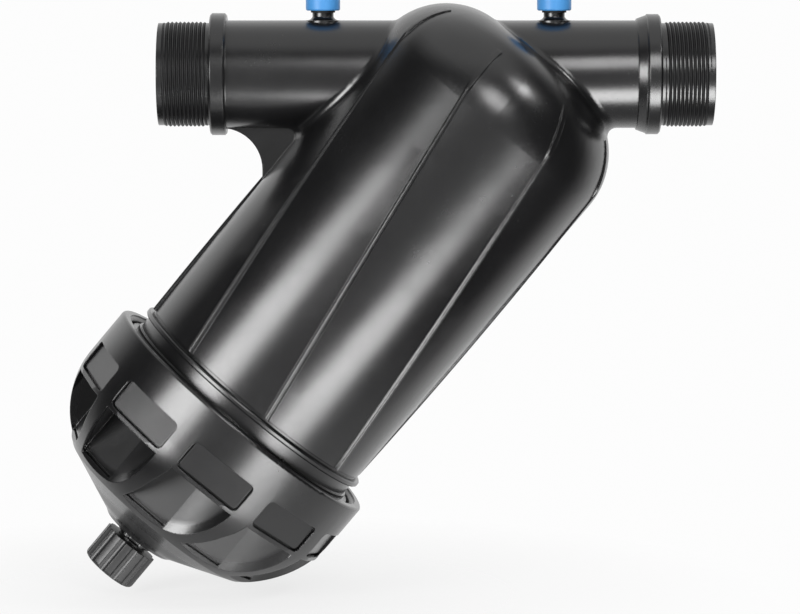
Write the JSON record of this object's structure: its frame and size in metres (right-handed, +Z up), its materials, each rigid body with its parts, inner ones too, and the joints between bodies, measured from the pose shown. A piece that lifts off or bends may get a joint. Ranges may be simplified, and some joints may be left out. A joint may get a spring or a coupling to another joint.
{
  "type": "inclined disc filter",
  "caption": "In-line water filter: a slanted black bowl under a straight threaded pipe, with a windowed screw cover, drain plug, blue tap plugs and a disc cartridge.",
  "frame": {"origin": "centre of the inlet pipe's end face", "axes": "+X runs along the pipe from the inlet to the outlet, +Z is up, and the bowl slants down towards the inlet in the XZ plane"},
  "size_m": [0.3671, 0.177, 0.3461],
  "materials": {
    "black_plastic": "semi-gloss black glass-filled moulding",
    "plug_plastic": "semi-gloss black moulding",
    "blue_plastic": "soft sky-blue moulding",
    "rubber": "soft black rubber",
    "cartridge_plastic": "plain black moulding",
    "disc_plastic": "finely grooved red discs",
    "steel": "stainless steel"
  },
  "bodies": {
    "housing": {"housing": "black_plastic"},
    "inlet_tap_seal": {"inlet_tap_seal": "rubber"},
    "inlet_tap_plug": {"inlet_tap_plug": "blue_plastic"},
    "outlet_tap_seal": {"outlet_tap_seal": "rubber"},
    "outlet_tap_plug": {"outlet_tap_plug": "blue_plastic"},
    "cartridge": {"cartridge_head": "cartridge_plastic", "neck_seal_upper": "rubber", "neck_seal_lower": "rubber", "cartridge_spine": "cartridge_plastic", "disc_stack": "disc_plastic", "tie_rod": "steel", "rod_nut": "steel", "cartridge_foot": "cartridge_plastic", "foot_nut": "steel"},
    "clamp_plate": {"pressure_plate": "cartridge_plastic", "clamp_washer": "steel"},
    "clamp_knob": {"clamp_knob": "cartridge_plastic"},
    "cover_seal": {"cover_seal": "rubber"},
    "cover": {"cover": "black_plastic"},
    "drain_seal": {"drain_seal": "rubber"},
    "drain_plug": {"drain_plug": "plug_plastic"}
  },
  "joints": [
    {"name": "inlet_tap_lead", "type": "slide", "parent": "housing", "child": "inlet_tap_seal", "axis": [0, 0, 1], "range_m": [0, 0.007]},
    {"name": "inlet_tap_turn", "type": "hinge", "parent": "inlet_tap_seal", "child": "inlet_tap_plug", "pos_m": [0.0935, 0, 0.035], "axis": [0, 0, 1], "range_deg": [0, 2016.05]},
    {"name": "outlet_tap_lead", "type": "slide", "parent": "housing", "child": "outlet_tap_seal", "axis": [0, 0, 1], "range_m": [0, 0.007]},
    {"name": "outlet_tap_turn", "type": "hinge", "parent": "outlet_tap_seal", "child": "outlet_tap_plug", "pos_m": [0.225, 0, 0.035], "axis": [0, 0, 1], "range_deg": [0, 2016.05]},
    {"name": "cartridge_pull", "type": "slide", "parent": "housing", "child": "cartridge", "axis": [-0.6428, 0, -0.766], "range_m": [0, 0.3]},
    {"name": "clamp_lead", "type": "slide", "parent": "cartridge", "child": "clamp_plate", "axis": [-0.6428, 0, -0.766], "range_m": [0, 0.011]},
    {"name": "clamp_turn", "type": "hinge", "parent": "clamp_plate", "child": "clamp_knob", "pos_m": [0.2082, 0, 0], "axis": [-0.6428, 0, -0.766], "range_deg": [0, 2640.05]},
    {"name": "cover_lead", "type": "slide", "parent": "cartridge", "child": "cover_seal", "axis": [-0.6428, 0, -0.766], "range_m": [0, 0.024]},
    {"name": "cover_turn", "type": "hinge", "parent": "cover_seal", "child": "cover", "pos_m": [0.2082, 0, 0], "axis": [-0.6428, 0, -0.766], "range_deg": [0, 1440.05]},
    {"name": "drain_lead", "type": "slide", "parent": "cover", "child": "drain_seal", "axis": [-0.6428, 0, -0.766], "range_m": [0, 0.017]},
    {"name": "drain_turn", "type": "hinge", "parent": "drain_seal", "child": "drain_plug", "pos_m": [0.2082, 0, 0], "axis": [-0.6428, 0, -0.766], "range_deg": [0, 3060.05]}
  ],
  "couplings": [
    {"joint": "inlet_tap_turn", "follows": "inlet_tap_lead", "rad_per_m": 5026.5},
    {"joint": "outlet_tap_turn", "follows": "outlet_tap_lead", "rad_per_m": 5026.5},
    {"joint": "clamp_turn", "follows": "clamp_lead", "rad_per_m": 4188.8},
    {"joint": "cover_turn", "follows": "cover_lead", "rad_per_m": 1047.2},
    {"joint": "drain_turn", "follows": "drain_lead", "rad_per_m": 3141.6}
  ]
}
